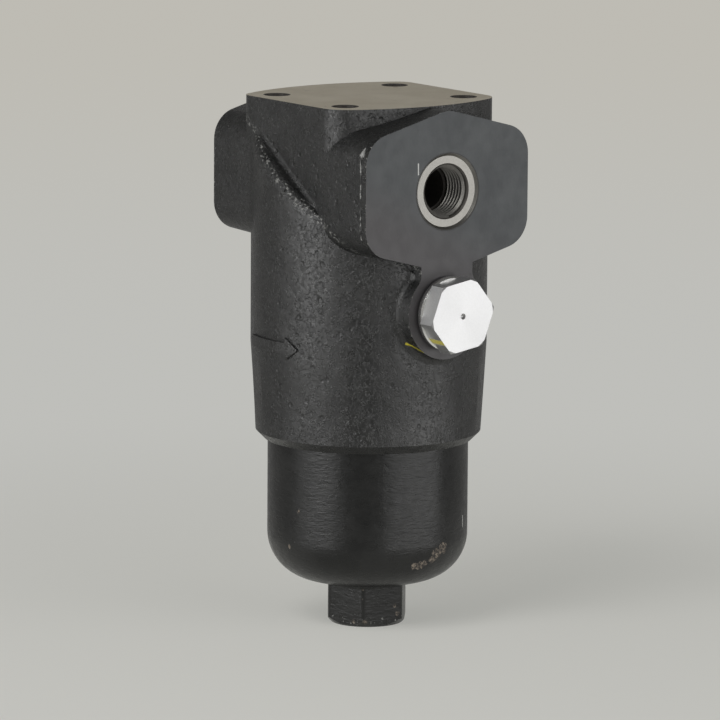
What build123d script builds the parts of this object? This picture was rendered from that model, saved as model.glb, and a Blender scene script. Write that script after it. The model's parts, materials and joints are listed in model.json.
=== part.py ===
from build123d import *
import math
import os

# High pressure inline filter, in millimetres. The origin is the centre of the flat end of the
# bowl's hex nose, +Z runs up the filter's axis and +X points out of the outlet port.

# Nose and bowl
nose_across_flats = 30.0
nose_height = 18.0
nose_turn = 18.6           # degrees from +X to the first corner of the hexagon
nose_corner_radius = 3.0
nose_face_inset = 0.6      # from the flats in to the edge of the end face
nose_cone_height = 3.0
nose_fillet = 2.5
bowl_radius = 40.1
bowl_knuckle_radius = 19.0
bowl_floor = 8.0
bowl_wall = 7.6
bowl_bore_knuckle = 12.0
bowl_show_height = 57.0    # from the bowl's underside to the lip of the head

# Screwed joint between the bowl and the head
lip_clearance = 0.6
lip_bore_depth = 4.5
bowl_land_above_lip = 3.5
bowl_undercut_depth = 1.0
bowl_undercut_width = 2.0
bowl_thread_inset = 0.1
bowl_thread_length = 21.5
seal_bore_step = 2.0       # from the thread in to the bore of the seal
seal_lead_in = 1.5
seal_neck_length = 10.0
running_clearance = 0.08
rim_gap = 0.3
bowl_groove_below_rim = 6.5
bowl_groove_width = 4.4
bowl_groove_depth = 2.6
backup_ring_thickness = 1.5
seal_clearance = 0.1

# Outside of the head
skirt_wall = 5.0
lip_land = 0.9             # flat ring round the lip, inside the skirt's slanted edge
body_wall = 9.1
skirt_taper_height = 39.0
body_above_rim = 67.5      # from the rim of the bowl to the axis of the ports
port_to_top = 32.5
top_block_end_inset = 10.3 # from the faces of the ports in to the ends of the block
top_block_end_radius = 80.0
top_block_corner_radius = 12.0
top_block_inlet_corner_radius = 7.0
top_block_side_cut = 0.3   # the block's sides trim the port blocks, which are a little wider
top_block_overlap = 1.5    # how far the block reaches below the axis of the ports
port_face_proud = 4.4      # from the body out to the faces of the ports
port_face_side_inset = 7.6 # from the body's side in to the side of a port's face
port_face_side_half_height = 21.7
port_face_half_height = 32.1
port_face_side_radius = 12.0
port_face_apex_radius = 14.0
port_block_draft = 2.0     # degrees
port_block_draft_length = 23.5
roof_clip = 0.5            # how far the outlet block's roof stays under the mounting face
inlet_roof_clip = 2.4
ledge_angle = 34.4         # degrees below the horizontal, towards the outlet
ledge_above_port = 5.4     # where its plane crosses the axis
ledge_top_above_port = 22.5
ledge_bend_radius = 14.0
ledge_edge_radius = 4.5
plug_below_port = 48.0
plug_boss_rim = 3.65       # boss round the plug's collar
plug_neck_half_width = 12.5
plug_neck_fillet = 4.5
plug_foot_fillet = 3.5     # between the boss and the body
cast_fillet = 2.0
seam_end_inset = 2.9       # from the body's side in to the ends of the seam
seam_root = 1.2            # how deep the seam's strip reaches into the metal
foot_margin = 0.2          # the foot's fillet stays this far from the face of the port

# Mounting face
mount_pitch_x = 46.0
mount_pitch_y = 58.0
mount_hole_radius = 5.0
mount_hole_depth = 16.0
mount_hole_mouth_radius = 5.4

# Ports and passages
port_thread_radius = 10.48
port_thread_length = 14.0
port_thread_chamfer = 0.6
port_bore_radius = 8.5
port_spotface_radius = 15.0
port_spotface_slope = 1.0
port_spotface_depth = 1.0
inlet_bore_overrun = 6.5   # how far the inlet's bore runs into the chamber
chamber_step = 1.5
chamber_roof_wall = 8.0
hub_wall = 7.0
hub_below_port = 31.5
hub_thread_radius = 12.0
hub_thread_length = 16.0
hub_bore_step = 3.0
hub_bore_above_port = 2.0

# Outlet spigot
spigot_radius = 13.0
spigot_shank_wall = 3.2
spigot_reach = 0.5         # past the inside of the element's upper cap
spigot_flange_inset = 1.5
spigot_flange_thickness = 4.0
spigot_shank_length = 13.0
spigot_seal_section = 1.8
spigot_seal_inset = 2.7
spigot_groove_depth = 1.5
spigot_nose_chamfer = 1.5

# Filter element
element_gap = 6.2          # between the element and the wall of the bowl
cap_plate = 2.5
cap_rim_height = 6.0
cap_rim_wall = 0.8
collar_wall = 4.0
collar_height = 12.0
collar_gap = 1.5           # between the top of the collar and the flange of the spigot
element_seal_section = 2.4
element_groove_width = 3.2
element_groove_depth = 2.2
core_ledge = 0.5           # how far the core's bore is under the spigot's radius
core_wall = 0.8
core_hole_radius = 3.0
core_hole_rows = 6
core_holes_around = 6
pleat_count = 36
pleat_paper = 0.8
pleat_core_gap = 0.3
sleeve_wall = 0.5
sleeve_gap = 0.3
sleeve_slot_rows = 5
sleeve_slots_around = 8
sleeve_slot_width = 9.0
sleeve_slot_height = 12.0
sleeve_slot_radius = 3.0

# Bypass valve in the lower end cap
seat_hole_radius = 6.5
seat_lip_wall = 1.5
seat_lip_height = 1.0
poppet_overlap = 1.0
poppet_plate = 2.0
poppet_seal_thickness = 1.2
poppet_boss_gap = 1.3
poppet_stem_radius = 2.5
poppet_stem_length = 20.0
poppet_seat_gap = 0.05
cage_inset = 1.0
cage_wall = 1.0
cage_flange_inset = 0.2
cage_flange = 1.0
cage_height = 20.0
cage_top = 1.2
cage_window_width = 8.0
cage_window_height = 11.0
cage_window_count = 4
cage_ring_thickness = 1.0
cage_ring_gap = 5.0
cage_ring_clearance = 0.05
bypass_wire_radius = 0.7
bypass_coil_radius = 5.6
bypass_coil_turns = 4.5
spring_end_gap = 0.05

# Support spring under the element
support_spring_height = 9.0
support_wire_radius = 1.2
support_coil_radius = 13.5
support_coil_turns = 2.5
spring_seat_radius = 17.0
spring_seat_plate = 1.0
spring_seat_rim_height = 3.0
spring_seat_rim_wall = 1.0

# Indicator plug
plug_across_flats = 27.0
plug_hex_turn = 9.2        # degrees from +Y to the first corner of the hexagon
plug_hex_height = 7.4
plug_hex_chamfer_angle = 30.0
plug_hex_face_overhang = 1.1  # from the flats out to the chamfer that trims the corners
plug_collar_overhang = 1.25
plug_collar_thickness = 2.2
plug_dimple_radius = 1.2
plug_dimple_depth = 0.8
plug_thread_radius = 10.0
plug_shank_length = 11.0
plug_port_runout = 2.0
plug_seal_thickness = 1.2
plug_seal_inset = 0.55
plug_seal_bore_clearance = 0.4
plug_tap_radius = 3.0
clean_tap_radius = 1.5
clean_tap_start = 7.0      # in from the face of the boss
clean_tap_end = 19.5

# Radii and reaches that follow from the sizes above
nose_face_radius = nose_across_flats / 2 - nose_face_inset
bowl_bore_radius = bowl_radius - bowl_wall
bowl_thread_radius = bowl_radius - bowl_thread_inset
bowl_undercut_radius = bowl_thread_radius - bowl_undercut_depth
seal_bore_radius = bowl_thread_radius - seal_bore_step
lip_radius = bowl_radius + lip_clearance
skirt_radius = bowl_thread_radius + skirt_wall
skirt_edge_height = skirt_radius - lip_radius - lip_land
body_radius = seal_bore_radius + body_wall
face_x = body_radius + port_face_proud
port_face_half_width = body_radius - port_face_side_inset
port_block_growth = port_block_draft_length * math.tan(math.radians(port_block_draft))
top_block_half_width = port_face_half_width + port_block_growth - top_block_side_cut
top_block_half_length = face_x - top_block_end_inset
port_spotface_floor_radius = port_spotface_radius - port_spotface_slope
chamber_radius = seal_bore_radius - chamber_step
hub_radius = hub_thread_radius + hub_wall
hub_bore_radius = hub_thread_radius - hub_bore_step
spigot_bore_radius = hub_thread_radius - spigot_shank_wall
spigot_flange_radius = hub_radius - spigot_flange_inset
spigot_seal_radius = spigot_flange_radius - spigot_seal_inset
cap_radius = bowl_bore_radius - element_gap
collar_radius = spigot_radius + collar_wall
core_bore_radius = spigot_radius - core_ledge
core_radius = core_bore_radius + core_wall
sleeve_radius = cap_radius - cap_rim_wall
pleat_radius = sleeve_radius - sleeve_wall - sleeve_gap
pleat_root_radius = core_radius + pleat_core_gap
seat_lip_radius = seat_hole_radius + seat_lip_wall
poppet_radius = seat_lip_radius + poppet_overlap
poppet_seal_bore_radius = seat_hole_radius - poppet_boss_gap
cage_radius = core_bore_radius - cage_inset
cage_flange_radius = core_bore_radius - cage_flange_inset
plug_hex_face_radius = plug_across_flats / 2 + plug_hex_face_overhang
plug_collar_radius = plug_across_flats / 2 + plug_collar_overhang
plug_boss_radius = plug_collar_radius + plug_boss_rim
plug_seal_radius = plug_collar_radius - plug_seal_inset
plug_seal_bore_radius = plug_thread_radius + plug_seal_bore_clearance
plug_port_depth = plug_shank_length + plug_port_runout

# Heights that follow from the sizes above
bowl_floor_z = nose_height + bowl_floor
lip_z = nose_height + bowl_show_height
bowl_land_z = lip_z + bowl_land_above_lip
bowl_thread_z = bowl_land_z + bowl_undercut_width
bowl_thread_top_z = bowl_thread_z + bowl_thread_length
rim_z = bowl_thread_top_z + seal_neck_length
port_z = rim_z + body_above_rim
top_z = port_z + port_to_top
plug_z = port_z - plug_below_port
hub_z = port_z - hub_below_port
slope = math.tan(math.radians(ledge_angle))
collar_top_z = hub_z - spigot_flange_thickness - collar_gap
cap_top_z = collar_top_z - collar_height
media_top_z = cap_top_z - cap_plate
spring_seat_z = bowl_floor_z + support_spring_height
element_z = spring_seat_z + spring_seat_plate
media_z = element_z + cap_plate
media_length = media_top_z - media_z


def turned(points):
    # A solid turned about Z from (radius, height) points
    profile = make_face(Polyline(*points, close=True))
    return revolve(Plane.XZ * profile, Axis.Z)


def upright(radius, z0, z1, x=0.0, y=0.0):
    return Pos(x, y, (z0 + z1) / 2) * Cylinder(radius, z1 - z0)


def along_x(radius, x0, x1, z):
    return Pos((x0 + x1) / 2, 0, z) * Rot(0, 90, 0) * Cylinder(radius, x1 - x0)


def ring(radius, section, z):
    return Pos(0, 0, z) * Torus(radius, section / 2)


def port_outline():
    # The six sided face of a port, about the port's own axis
    half = port_face_half_width
    side = port_face_side_half_height
    peak = port_face_half_height
    points = [(half, -side), (half, side), (0, peak), (-half, side), (-half, -side), (0, -peak)]
    face = make_face(Polyline(*points, close=True))
    face = fillet([v for v in face.vertices() if abs(v.X) < 1], port_face_apex_radius)
    return fillet([v for v in face.vertices() if abs(v.X) > half - 0.001], port_face_side_radius)


def port_block(clip):
    # Cast block of one port: straight in the middle of the head, then drafted in to its face
    root_x = face_x - port_block_draft_length
    place = Plane((face_x, 0, port_z), x_dir=(0, 1, 0), z_dir=(1, 0, 0))
    tapered = extrude(place * port_outline(), -port_block_draft_length, taper=-port_block_draft)
    root = tapered.faces().sort_by(Axis.X)[0]
    block = tapered + extrude(root, root_x, dir=(-1, 0, 0))
    roof_z = top_z - clip
    return block & Pos(0, 0, roof_z - top_z / 2) * Box(4 * face_x, 2 * top_block_half_width, top_z)


def turned_body():
    return turned([
        (0, lip_z),
        (skirt_radius - skirt_edge_height, lip_z),
        (skirt_radius, lip_z + skirt_edge_height),
        (body_radius, lip_z + skirt_taper_height),
        (body_radius, top_z),
        (0, top_z),
    ])


def ledge_points():
    # The ledge seen from the side: level over the inlet, then falling to the outlet
    reach = body_radius + 5
    level_z = port_z + ledge_top_above_port
    start_z = port_z + ledge_above_port
    bend_x = (start_z - level_z) / slope
    return (-reach, level_z), (bend_x, level_z), (reach, start_z - reach * slope)


def ledge_seam():
    # The cast radius where the ledge meets the block's side, ending before the ledge's round rim
    width = cast_fillet + seam_root
    middle = (cast_fillet - seam_root) / 2
    section = Pos(middle, middle) * Rectangle(width, width)
    section -= Pos(cast_fillet, cast_fillet) * Circle(cast_fillet)
    high, turn, low = [Vector(x, top_block_half_width, z) for x, z in ledge_points()]
    fall = (low - turn).normalized()
    tangent = ledge_bend_radius * math.tan(math.radians(ledge_angle) / 2)
    bend = turn - Vector(tangent, 0, 0)
    level_end = Plane(bend, x_dir=(0, 1, 0), z_dir=(1, 0, 0))
    fall_start = Plane(turn + fall * tangent, x_dir=(0, 1, 0), z_dir=fall)
    pivot = Axis(bend - Vector(0, 0, ledge_bend_radius), (0, 1, 0))
    strip = extrude(level_end * section, high.X - bend.X)
    strip += revolve(level_end * section, pivot, ledge_angle)
    strip += extrude(fall_start * section, (low - turn).length)
    return strip & upright(body_radius - seam_end_inset, lip_z, top_z)


def ledge_body():
    # The turned body, cut at the top by the ledge that falls from the inlet to the outlet
    body = turned_body()
    high, bend, low = ledge_points()
    side = make_face(Polyline((-low[0], 0), (low[0], 0), low, bend, high, close=True))
    bends = [v for v in side.vertices() if abs(v.X - bend[0]) < 0.001]
    side = fillet(bends, ledge_bend_radius)
    under = extrude(Plane.XZ * side, low[0], both=True)
    body = body & under
    rim = [e for e in body.edges() if e.geom_type != GeomType.LINE and e.center().Z > hub_z]
    rim = [e for e in rim if e.center().Z < bend[1] - 0.1]
    return fillet(rim, ledge_edge_radius)


def top_block():
    # The block under the mounting face, with two straight sides and two bowed ends
    reach = top_block_half_length + 20
    bow_x = top_block_half_length - top_block_end_radius
    outline = Rectangle(2 * reach, 2 * top_block_half_width)
    outline = outline & Pos(bow_x, 0) * Circle(top_block_end_radius)
    outline = outline & Pos(-bow_x, 0) * Circle(top_block_end_radius)
    outline = fillet([v for v in outline.vertices() if v.X > 0], top_block_corner_radius)
    corners = [v for v in outline.vertices() if v.X < 1 - top_block_half_length / 2]
    outline = fillet(corners, top_block_inlet_corner_radius)
    return Pos(0, 0, top_z) * extrude(outline, -port_to_top - top_block_overlap)


def plug_boss():
    # The round boss of the indicator port and its neck, which runs up into the outlet's block
    place = Plane((face_x, 0, plug_z), x_dir=(0, 1, 0), z_dir=(1, 0, 0))
    outline = Circle(plug_boss_radius)
    outline += Pos(0, plug_below_port / 2) * Rectangle(2 * plug_neck_half_width, plug_below_port)
    # Out and back in again, which rounds the inner corners alone
    outline = offset(offset(outline, plug_neck_fillet), -plug_neck_fillet)
    return extrude(place * outline, hub_radius - face_x)


def booted_boss():
    # The boss with its cast foot, kept where the body is below the ledge
    boss = plug_boss()
    body = turned_body() + boss
    foot = [e for e in body.edges() if plug_z - plug_boss_radius - 1 < e.center().Z < port_z - 1]
    foot = [e for e in foot if skirt_radius - 5 < e.center().X < face_x - 1]
    foot = [e for e in foot if e.geom_type != GeomType.CIRCLE]
    body = fillet(foot, min(plug_foot_fillet, port_face_proud - foot_margin))
    start_z = port_z + ledge_above_port - 1.2 * ledge_edge_radius
    reach = 2 * face_x
    low_z = lip_z + skirt_edge_height + 1
    outline = [(hub_radius, low_z), (reach, low_z), (reach, start_z - reach * slope)]
    outline.append((hub_radius, start_z - hub_radius * slope))
    side = make_face(Polyline(*outline, close=True))
    return boss + (body & extrude(Plane.XZ * side, body_radius, both=True))


def head_blank():
    # The casting before machining
    body = ledge_body()
    seam = ledge_seam()
    blank = body + top_block() + port_block(roof_clip) + mirror(port_block(inlet_roof_clip), Plane.YZ)
    blank += booted_boss()
    return blank + seam + mirror(seam, Plane.XZ)


def port_cut():
    # Threaded port on the +X side: spotface, chamfer, thread and the passage behind it
    thread_end = face_x - port_thread_length
    floor_x = face_x - port_spotface_depth
    points = [
        (port_spotface_radius, face_x + 1),
        (port_spotface_radius, face_x),
        (port_spotface_floor_radius, floor_x),
        (port_thread_radius + port_thread_chamfer, floor_x),
        (port_thread_radius, floor_x - port_thread_chamfer),
        (port_thread_radius, thread_end),
        (0, thread_end),
        (0, face_x + 1),
    ]
    return Pos(0, 0, port_z) * Rot(0, 90, 0) * turned(points)


def plug_port_cut():
    # Indicator port, with its tap from the dirty side and the drilling from the clean side
    bottom_x = face_x - plug_port_depth
    cut = along_x(plug_thread_radius, bottom_x, face_x + 1, plug_z)
    cut += along_x(plug_tap_radius, chamber_radius - 3, bottom_x + 1, plug_z)
    start = Vector(face_x - clean_tap_start, 0, plug_z + plug_thread_radius - 3)
    end = Vector(face_x - clean_tap_end, 0, port_z - port_bore_radius + 2)
    path = end - start
    tap = Cylinder(clean_tap_radius, path.length, align=(Align.CENTER, Align.CENTER, Align.MIN))
    return cut + Plane(start, z_dir=path) * tap


def chamber_cut():
    # Dirty side chamber round the hub, its roof parallel to the ledge outside
    drop = chamber_roof_wall / math.cos(math.radians(ledge_angle))
    level_z = port_z + ledge_top_above_port - drop
    bend_x = (port_z + ledge_above_port - drop - level_z) / slope
    reach = chamber_radius + 5
    low_z = port_z + ledge_above_port - drop - reach * slope
    low = rim_z - 1
    outline = [(-reach, low), (reach, low), (reach, low_z), (bend_x, level_z), (-reach, level_z)]
    side = make_face(Polyline(*outline, close=True))
    room = extrude(Plane.XZ * side, reach, both=True) & upright(chamber_radius, rim_z + rim_gap, top_z)
    return room - upright(hub_radius, hub_z, top_z)


def head_casting():
    thread_bore_radius = bowl_thread_radius + running_clearance
    lip_bore_z = lip_z + lip_bore_depth
    lead_z = bowl_thread_top_z + 0.5
    seal_z = lead_z + seal_lead_in
    bore = turned([
        (0, lip_z - 1),
        (lip_radius, lip_z - 1),
        (lip_radius, lip_bore_z),
        (thread_bore_radius, lip_bore_z),
        (thread_bore_radius, lead_z),
        (seal_bore_radius, seal_z),
        (seal_bore_radius, rim_z + rim_gap),
        (0, rim_z + rim_gap),
    ])
    hub_bore_end = port_z + hub_bore_above_port
    hub_bore = upright(hub_thread_radius, hub_z - 1, hub_z + hub_thread_length)
    hub_bore += upright(hub_bore_radius, hub_z, hub_bore_end)
    port = port_cut()
    head = head_blank() - bore - chamber_cut() - hub_bore
    head -= port
    head -= mirror(port, Plane.YZ)
    head -= along_x(port_bore_radius, 0, face_x - 1, port_z)
    head -= along_x(port_bore_radius, 1 - face_x, inlet_bore_overrun - chamber_radius, port_z)
    head -= plug_port_cut()
    mouth = mount_hole_mouth_radius - mount_hole_radius
    hole = turned([
        (0, top_z + 1),
        (mount_hole_mouth_radius, top_z + 1),
        (mount_hole_mouth_radius, top_z),
        (mount_hole_radius, top_z - mouth),
        (mount_hole_radius, top_z - mount_hole_depth),
        (0, top_z - mount_hole_depth),
    ])
    for place in GridLocations(mount_pitch_x, mount_pitch_y, 2, 2):
        head -= place * hole
    return head


def bowl():
    # One steel piece: hex nose, round knuckle, thread and the neck that carries the seals
    underside = nose_height
    neck_radius = seal_bore_radius - running_clearance
    outer = [
        (0, underside),
        (bowl_radius, underside),
        (bowl_radius, bowl_land_z),
        (bowl_undercut_radius, bowl_land_z),
        (bowl_undercut_radius, bowl_thread_z),
        (bowl_thread_radius, bowl_thread_z),
        (bowl_thread_radius, bowl_thread_top_z - 1),
        (neck_radius, bowl_thread_top_z),
        (neck_radius, rim_z),
        (0, rim_z),
    ]
    cup = turned(outer)
    circles = cup.edges().filter_by(GeomType.CIRCLE)
    knuckle = [e for e in circles if abs(e.center().Z - underside) < 0.001]
    cup = fillet(knuckle, bowl_knuckle_radius)
    flat = nose_across_flats / 2
    nose = RegularPolygon(flat, 6, major_radius=False, rotation=nose_turn)
    nose = fillet(nose.vertices(), nose_corner_radius)
    nose = extrude(nose, underside + 2)
    corner = nose_across_flats
    cone_radius = corner / math.sqrt(3)
    nose = nose & turned([
        (0, 0),
        (nose_face_radius, 0),
        (cone_radius, nose_cone_height),
        (corner, nose_cone_height),
        (corner, underside + 2),
        (0, underside + 2),
    ])
    cup += nose
    root = [e for e in cup.edges() if abs(e.center().Z - underside) < 0.001 and e.center().X ** 2 < 400]
    cup = fillet(root, nose_fillet)
    hollow = upright(bowl_bore_radius, bowl_floor_z, rim_z + 1)
    hollow = fillet(hollow.edges().group_by(Axis.Z)[0], bowl_bore_knuckle)
    groove_z = rim_z - bowl_groove_below_rim
    floor = seal_bore_radius - bowl_groove_depth
    groove = upright(seal_bore_radius + 1, groove_z, groove_z + bowl_groove_width)
    groove -= upright(floor, groove_z, groove_z + bowl_groove_width)
    return cup - hollow - groove


def bowl_oring():
    section = bowl_groove_depth - seal_clearance
    centre = seal_bore_radius - bowl_groove_depth + section / 2
    top = rim_z - bowl_groove_below_rim + bowl_groove_width
    return ring(centre, section, top - section / 2 - 0.1)


def bowl_backup_ring():
    inner = seal_bore_radius - bowl_groove_depth
    foot = rim_z - bowl_groove_below_rim
    outer = seal_bore_radius - seal_clearance
    return upright(outer, foot, foot + backup_ring_thickness) - upright(inner, foot, rim_z)


def outlet_spigot():
    # Turned tube screwed into the hub, on which the element's upper cap slides
    flange_z = hub_z - spigot_flange_thickness
    tip_z = media_top_z - spigot_reach
    tube = turned([
        (spigot_bore_radius, tip_z),
        (spigot_radius - spigot_nose_chamfer, tip_z),
        (spigot_radius, tip_z + spigot_nose_chamfer),
        (spigot_radius, flange_z),
        (spigot_flange_radius, flange_z),
        (spigot_flange_radius, hub_z),
        (hub_thread_radius, hub_z),
        (hub_thread_radius, hub_z + spigot_shank_length),
        (spigot_bore_radius, hub_z + spigot_shank_length),
    ])
    width = spigot_seal_section + 0.4
    groove = upright(spigot_seal_radius + width / 2, hub_z - spigot_groove_depth, hub_z)
    groove -= upright(spigot_seal_radius - width / 2, hub_z - spigot_groove_depth, hub_z)
    return tube - groove


def spigot_oring():
    return ring(spigot_seal_radius, spigot_groove_depth, hub_z - spigot_groove_depth / 2)


def element_top_cap():
    # Pressed cap with a thick collar that slides on the spigot and holds an O-ring inside
    bore = spigot_radius + running_clearance
    groove_z = cap_top_z + (collar_height - element_groove_width) / 2
    groove_radius = bore + element_groove_depth
    return turned([
        (bore, media_top_z),
        (cap_radius - cap_rim_wall, media_top_z),
        (cap_radius - cap_rim_wall, cap_top_z - cap_rim_height),
        (cap_radius, cap_top_z - cap_rim_height),
        (cap_radius, cap_top_z),
        (collar_radius, cap_top_z),
        (collar_radius, collar_top_z),
        (bore, collar_top_z),
        (bore, groove_z + element_groove_width),
        (groove_radius, groove_z + element_groove_width),
        (groove_radius, groove_z),
        (bore, groove_z),
    ])


def element_oring():
    section = element_groove_depth + running_clearance - seal_clearance
    outer = spigot_radius + running_clearance + element_groove_depth
    return ring(outer - section / 2, section, cap_top_z + collar_height / 2)


def element_core():
    # Perforated centre tube that keeps the pleats from collapsing
    tube = upright(core_radius, media_z, media_top_z) - upright(core_bore_radius, media_z, media_top_z)
    row_pitch = media_length / (core_hole_rows + 1)
    for row in range(core_hole_rows):
        for place in PolarLocations(core_radius, core_holes_around, start_angle=row * 30):
            spot = Pos(0, 0, media_z + (row + 1) * row_pitch) * place
            tube -= spot * Rot(0, 90, 0) * Cylinder(core_hole_radius, 6)
    return tube


def pleat_ring(tip, root, half_width_tip, half_width_root):
    # One closed zigzag, with a tip and a root for every pleat
    points = []
    for pleat in range(pleat_count):
        middle = 2 * math.pi * pleat / pleat_count
        gap = middle + math.pi / pleat_count
        for radius, angle in (
            (tip, middle - half_width_tip / tip),
            (tip, middle + half_width_tip / tip),
            (root, gap - half_width_root / root),
            (root, gap + half_width_root / root),
        ):
            points.append((radius * math.cos(angle), radius * math.sin(angle)))
    return make_face(Polyline(*points, close=True))


def element_pleats():
    sharp = 0.02
    outside = pleat_ring(pleat_radius, pleat_root_radius + pleat_paper, pleat_paper, sharp)
    inside = pleat_ring(pleat_radius - pleat_paper, pleat_root_radius, sharp, pleat_paper)
    return Pos(0, 0, media_z) * extrude(outside - inside, media_length)


def element_sleeve():
    # Thin outer wrap with rows of slots
    tube = upright(sleeve_radius, media_z, media_top_z)
    tube -= upright(sleeve_radius - sleeve_wall, media_z, media_top_z)
    row_pitch = media_length / sleeve_slot_rows
    slot = RectangleRounded(sleeve_slot_height, sleeve_slot_width, sleeve_slot_radius)
    for row in range(sleeve_slot_rows):
        height = Pos(0, 0, media_z + (row + 0.5) * row_pitch)
        for place in PolarLocations(0, sleeve_slots_around, start_angle=row * 22.5):
            window = extrude(Plane.YZ * Rot(0, 0, 90) * slot, cap_radius + 2)
            tube -= height * place * window
    return tube


def element_bottom_cap():
    lip_z = media_z + seat_lip_height
    return turned([
        (seat_hole_radius, element_z),
        (cap_radius, element_z),
        (cap_radius, element_z + cap_rim_height),
        (cap_radius - cap_rim_wall, element_z + cap_rim_height),
        (cap_radius - cap_rim_wall, media_z),
        (seat_lip_radius, media_z),
        (seat_lip_radius, lip_z),
        (seat_hole_radius, lip_z),
    ])


def bypass_seal():
    foot = media_z + seat_lip_height + poppet_seat_gap
    washer = upright(poppet_radius, foot, foot + poppet_seal_thickness)
    return washer - upright(poppet_seal_bore_radius, foot, foot + poppet_seal_thickness)


def poppet_levels():
    # Underside and upper side of the poppet's plate
    under = media_z + seat_lip_height + poppet_seat_gap + poppet_seal_thickness
    return under, under + poppet_plate


def bypass_poppet():
    # Plate with a boss through its seal and a stem that runs in the top of the cage
    under, over = poppet_levels()
    plate = upright(poppet_radius, under, over)
    plate += upright(poppet_seal_bore_radius, under - poppet_seal_thickness, under)
    return plate + upright(poppet_stem_radius, over, over + poppet_stem_length)


def bypass_cage():
    foot = media_z
    top = foot + cage_height
    bore = poppet_stem_radius + running_clearance
    cage = turned([
        (cage_radius - cage_wall, foot),
        (cage_flange_radius, foot),
        (cage_flange_radius, foot + cage_flange),
        (cage_radius, foot + cage_flange),
        (cage_radius, top),
        (bore, top),
        (bore, top - cage_top),
        (cage_radius - cage_wall, top - cage_top),
    ])
    window_z = foot + cage_flange + 2 + cage_window_height / 2
    from_axis = (Align.MIN, Align.CENTER, Align.CENTER)
    window = Box(cage_radius + 1, cage_window_width, cage_window_height, align=from_axis)
    for place in PolarLocations(0, cage_window_count):
        cage -= Pos(0, 0, window_z) * place * window
    return cage


def cage_ring():
    # Open snap ring that holds the cage's flange down inside the core
    foot = media_z + cage_flange
    band = upright(core_bore_radius, foot, foot + cage_ring_thickness)
    band -= upright(cage_radius + cage_ring_clearance, foot, foot + cage_ring_thickness)
    return band - Pos(core_bore_radius, 0, foot) * Box(cage_ring_gap, cage_ring_gap, 4)


def coil(coil_radius, wire_radius, turns, low, high):
    # Round wire spring whose end turns touch the heights low and high
    rise = high - low - 2 * wire_radius
    path = Helix(pitch=rise / turns, height=rise, radius=coil_radius)
    section = Plane(path @ 0, z_dir=path % 0) * Circle(wire_radius)
    return Pos(0, 0, low + wire_radius) * sweep(section, path, is_frenet=True)


def bypass_spring():
    under, over = poppet_levels()
    low = over + spring_end_gap
    high = media_z + cage_height - cage_top - spring_end_gap
    return coil(bypass_coil_radius, bypass_wire_radius, bypass_coil_turns, low, high)


def support_spring():
    low = bowl_floor_z + spring_end_gap
    high = spring_seat_z - spring_end_gap
    return coil(support_coil_radius, support_wire_radius, support_coil_turns, low, high)


def spring_seat():
    # Dished washer between the support spring and the element
    inner = spring_seat_radius - spring_seat_rim_wall
    return turned([
        (seat_hole_radius, spring_seat_z),
        (inner, spring_seat_z),
        (inner, spring_seat_z - spring_seat_rim_height),
        (spring_seat_radius, spring_seat_z - spring_seat_rim_height),
        (spring_seat_radius, element_z),
        (seat_hole_radius, element_z),
    ])


def indicator_plug():
    # Hexagon head on a round collar, with the shank that closes the indicator port
    seat_x = face_x + plug_seal_thickness
    hex_x = seat_x + plug_collar_thickness
    end_x = hex_x + plug_hex_height
    place = Plane((hex_x, 0, plug_z), x_dir=(0, 1, 0), z_dir=(1, 0, 0))
    outline = RegularPolygon(plug_across_flats / 2, 6, major_radius=False, rotation=plug_hex_turn)
    head = extrude(place * outline, plug_hex_height)
    corner = plug_across_flats
    drop = (corner - plug_hex_face_radius) * math.tan(math.radians(plug_hex_chamfer_angle))
    dome = Rot(0, 90, 0) * turned([
        (0, hex_x - 1),
        (corner, hex_x - 1),
        (corner, end_x - drop),
        (plug_hex_face_radius, end_x),
        (plug_dimple_radius, end_x),
        (0, end_x - plug_dimple_depth),
    ])
    head = head & Pos(0, 0, plug_z) * dome
    collar = along_x(plug_collar_radius, seat_x, hex_x, plug_z)
    collar = chamfer(collar.edges().group_by(Axis.X)[-1], 0.6)
    shank = along_x(plug_thread_radius - running_clearance, seat_x - plug_shank_length, seat_x, plug_z)
    shank = chamfer(shank.edges().group_by(Axis.X)[0], 1.0)
    return head + collar + shank


def plug_seal():
    seat_x = face_x + plug_seal_thickness
    washer = along_x(plug_seal_radius, face_x, seat_x, plug_z)
    return washer - along_x(plug_seal_bore_radius, face_x, seat_x, plug_z)


nodes = {
    "head_casting": head_casting,
    "bowl": bowl,
    "bowl_oring": bowl_oring,
    "bowl_backup_ring": bowl_backup_ring,
    "outlet_spigot": outlet_spigot,
    "spigot_oring": spigot_oring,
    "element_top_cap": element_top_cap,
    "element_oring": element_oring,
    "element_core": element_core,
    "element_pleats": element_pleats,
    "element_sleeve": element_sleeve,
    "element_bottom_cap": element_bottom_cap,
    "bypass_cage": bypass_cage,
    "cage_ring": cage_ring,
    "bypass_poppet": bypass_poppet,
    "bypass_seal": bypass_seal,
    "bypass_spring": bypass_spring,
    "support_spring": support_spring,
    "spring_seat": spring_seat,
    "indicator_plug": indicator_plug,
    "plug_seal": plug_seal,
}

os.makedirs("parts", exist_ok=True)
for name, make in nodes.items():
    export_step(make(), f"parts/{name}.step")
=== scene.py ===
import json
import math

import bpy
from mathutils import Euler, Matrix, Vector

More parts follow.
